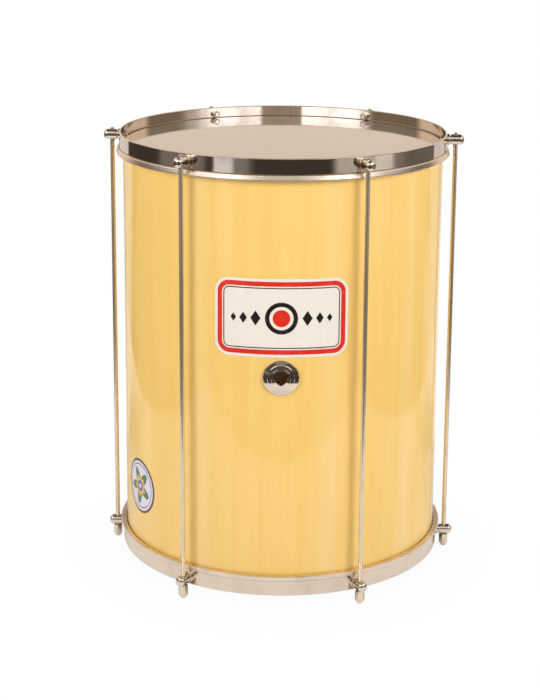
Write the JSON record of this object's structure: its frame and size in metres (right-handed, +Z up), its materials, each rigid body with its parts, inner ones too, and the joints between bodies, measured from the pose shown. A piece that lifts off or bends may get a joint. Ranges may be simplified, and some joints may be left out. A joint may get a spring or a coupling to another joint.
{
  "type": "surdo bass drum",
  "caption": "Deep cylindrical bass drum with a yellow wood-grain shell, film heads under flat chrome hoops, and tension rods between radial lug pins.",
  "frame": {"origin": "centre of the drum's axis at the level of the tuning nuts' tips, on which it stands", "axes": "+Z up the drum's axis towards the played head; -Y towards the side with the vent and the label"},
  "size_m": [0.4006, 0.3704, 0.4874],
  "materials": {
    "ply": "plywood, satin",
    "laminate": "pale yellow wood-grain laminate, glossy",
    "film": "milky drum film, semi-gloss",
    "chrome": "polished",
    "bright": "bright zinc plate",
    "rod": "polished, plated",
    "nut": "nickel-plated brass, worn bright",
    "label": "printed vinyl, plain pattern",
    "badge": "printed vinyl, plain pattern"
  },
  "bodies": {
    "drum": {"shell": "ply", "shell_laminate": "laminate", "head_top": "film", "head_bottom": "film", "flesh_hoop_top": "bright", "flesh_hoop_bottom": "bright", "hoop_bottom": "chrome", "lug_bottom_1": "chrome", "lug_bottom_2": "chrome", "lug_bottom_3": "chrome", "lug_bottom_4": "chrome", "lug_bottom_5": "chrome", "lug_bottom_6": "chrome", "lug_nut_bottom_1": "bright", "lug_nut_bottom_2": "bright", "lug_nut_bottom_3": "bright", "lug_nut_bottom_4": "bright", "lug_nut_bottom_5": "bright", "lug_nut_bottom_6": "bright", "vent_grommet": "chrome", "vent_ring_nut": "bright", "front_label": "label", "side_badge": "badge"},
    "top_hoop": {"hoop_top": "chrome", "lug_top_1": "chrome", "lug_top_2": "chrome", "lug_top_3": "chrome", "lug_top_4": "chrome", "lug_top_5": "chrome", "lug_top_6": "chrome", "lug_nut_top_1": "bright", "lug_nut_top_2": "bright", "lug_nut_top_3": "bright", "lug_nut_top_4": "bright", "lug_nut_top_5": "bright", "lug_nut_top_6": "bright", "rod_1": "rod", "rod_2": "rod", "rod_3": "rod", "rod_4": "rod", "rod_5": "rod", "rod_6": "rod"},
    "tuning_nut_1": {"tuning_nut_1": "nut"},
    "tuning_nut_2": {"tuning_nut_2": "nut"},
    "tuning_nut_3": {"tuning_nut_3": "nut"},
    "tuning_nut_4": {"tuning_nut_4": "nut"},
    "tuning_nut_5": {"tuning_nut_5": "nut"},
    "tuning_nut_6": {"tuning_nut_6": "nut"}
  },
  "joints": [
    {"name": "top_hoop_lift", "type": "slide", "parent": "drum", "child": "top_hoop", "axis": [0, 0, 1], "range_m": [0, 0.006]},
    {"name": "tuning_nut_1_turn", "type": "hinge", "parent": "drum", "child": "tuning_nut_1", "pos_m": [0.19084, -0.01, 0.0144], "axis": [0, 0, 1], "range_deg": [-2701, 0]},
    {"name": "tuning_nut_2_turn", "type": "hinge", "parent": "drum", "child": "tuning_nut_2", "pos_m": [0.08676, -0.17027, 0.0144], "axis": [0, 0, 1], "range_deg": [-2701, 0]},
    {"name": "tuning_nut_3_turn", "type": "hinge", "parent": "drum", "child": "tuning_nut_3", "pos_m": [-0.10408, -0.16027, 0.0144], "axis": [0, 0, 1], "range_deg": [-2701, 0]},
    {"name": "tuning_nut_4_turn", "type": "hinge", "parent": "drum", "child": "tuning_nut_4", "pos_m": [-0.19084, 0.01, 0.0144], "axis": [0, 0, 1], "range_deg": [-2701, 0]},
    {"name": "tuning_nut_5_turn", "type": "hinge", "parent": "drum", "child": "tuning_nut_5", "pos_m": [-0.08676, 0.17027, 0.0144], "axis": [0, 0, 1], "range_deg": [-2701, 0]},
    {"name": "tuning_nut_6_turn", "type": "hinge", "parent": "drum", "child": "tuning_nut_6", "pos_m": [0.10408, 0.16027, 0.0144], "axis": [0, 0, 1], "range_deg": [-2701, 0]}
  ],
  "couplings": [
    {"joint": "tuning_nut_1_turn", "follows": "top_hoop_lift", "rad_per_m": -7854},
    {"joint": "tuning_nut_2_turn", "follows": "top_hoop_lift", "rad_per_m": -7854},
    {"joint": "tuning_nut_3_turn", "follows": "top_hoop_lift", "rad_per_m": -7854},
    {"joint": "tuning_nut_4_turn", "follows": "top_hoop_lift", "rad_per_m": -7854},
    {"joint": "tuning_nut_5_turn", "follows": "top_hoop_lift", "rad_per_m": -7854},
    {"joint": "tuning_nut_6_turn", "follows": "top_hoop_lift", "rad_per_m": -7854}
  ]
}
